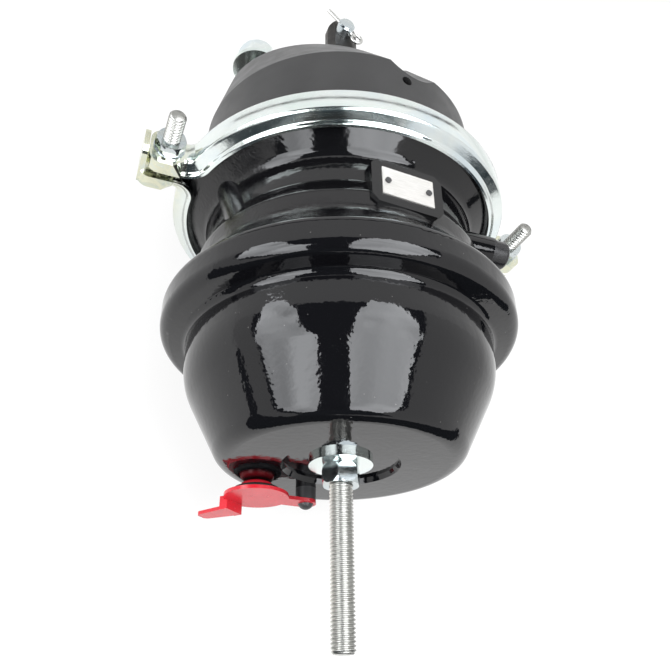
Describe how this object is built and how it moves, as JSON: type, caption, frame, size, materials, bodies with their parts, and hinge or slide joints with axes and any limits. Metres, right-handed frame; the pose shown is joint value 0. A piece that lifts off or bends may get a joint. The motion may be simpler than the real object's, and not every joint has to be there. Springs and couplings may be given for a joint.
{
  "type": "air brake chamber",
  "caption": "Combination air brake chamber: black spring and service housings, clamp ring, caging bolt with nut, red end cap on a strap, and a push rod with clevis.",
  "frame": {"origin": "centre of the mounting face, midway between the two studs, on the chamber's axis", "axes": "+Y along the push rod, away from the chamber; the two studs and the clamp's ears lie along X; the clevis pin, the clamp bolts' threads and the name plate point to +Z"},
  "size_m": [0.257, 0.4412, 0.209],
  "materials": {
    "gloss_black_steel": "gloss",
    "gloss_black_casting": "gloss black paint on cast aluminium",
    "satin_black_steel": "satin",
    "zinc_plate": "bright zinc plate",
    "bare_steel": "machined",
    "dark_steel": "dark coated",
    "rubber": "matte",
    "bronze": "machined",
    "bare_aluminium": "satin",
    "red_plastic": "gloss",
    "black_plastic": "semi-gloss"
  },
  "bodies": {
    "housing": {"spring_head": "gloss_black_steel", "power_spring": "dark_steel", "spring_diaphragm": "rubber", "center_housing": "gloss_black_casting", "rod_bushing": "bronze", "adapter_return_spring": "dark_steel", "service_diaphragm": "rubber", "service_return_spring": "dark_steel", "dust_seal": "rubber", "service_housing": "satin_black_steel", "mounting_studs": "zinc_plate", "mounting_washers": "zinc_plate", "mounting_nuts": "zinc_plate", "clamp_half_front": "zinc_plate", "clamp_half_rear": "zinc_plate", "clamp_bolts": "zinc_plate", "clamp_nuts": "zinc_plate", "caging_washer": "zinc_plate", "tether_post": "black_plastic", "name_plate": "bare_aluminium", "plate_rivets": "bare_aluminium", "port_plugs": "black_plastic"},
    "spring_piston": {"pressure_plate": "dark_steel", "adapter_rod": "bare_steel", "caging_bolt": "zinc_plate"},
    "service_rod": {"push_plate": "bare_steel", "push_rod": "bare_steel", "jam_nut": "zinc_plate", "clevis": "dark_steel"},
    "clevis_pin": {"clevis_pin": "zinc_plate", "cotter_pin": "bare_steel"},
    "caging_nut": {"caging_nut": "zinc_plate"},
    "end_cap": {"end_cap": "red_plastic", "cap_seal_ring": "rubber"}
  },
  "joints": [
    {"name": "piston_slide", "type": "slide", "parent": "housing", "child": "spring_piston", "axis": [0, 1, 0], "range_m": [0, 0.064], "deforming": ["power_spring", "spring_diaphragm", "adapter_return_spring"]},
    {"name": "push_rod_slide", "type": "slide", "parent": "housing", "child": "service_rod", "axis": [0, 1, 0], "range_m": [0, 0.064], "deforming": ["service_diaphragm", "service_return_spring"]},
    {"name": "caging_nut_turn", "type": "hinge", "parent": "housing", "child": "caging_nut", "pos_m": [0, -0.2685, 0], "axis": [0, 1, 0], "range_deg": [-11793, 0]},
    {"name": "clevis_pin_turn", "type": "hinge", "parent": "service_rod", "child": "clevis_pin", "pos_m": [0, 0.0705, 0], "axis": [0, 0, 1], "continuous": true},
    {"name": "end_cap_swing", "type": "hinge", "parent": "housing", "child": "end_cap", "pos_m": [-0.0045, -0.2712, -0.043], "axis": [0, 1, 0], "range_deg": [-190, 40]}
  ],
  "couplings": [
    {"joint": "push_rod_slide", "follows": "piston_slide", "ratio": 1},
    {"joint": "caging_nut_turn", "follows": "piston_slide", "rad_per_m": -3215.8}
  ]
}
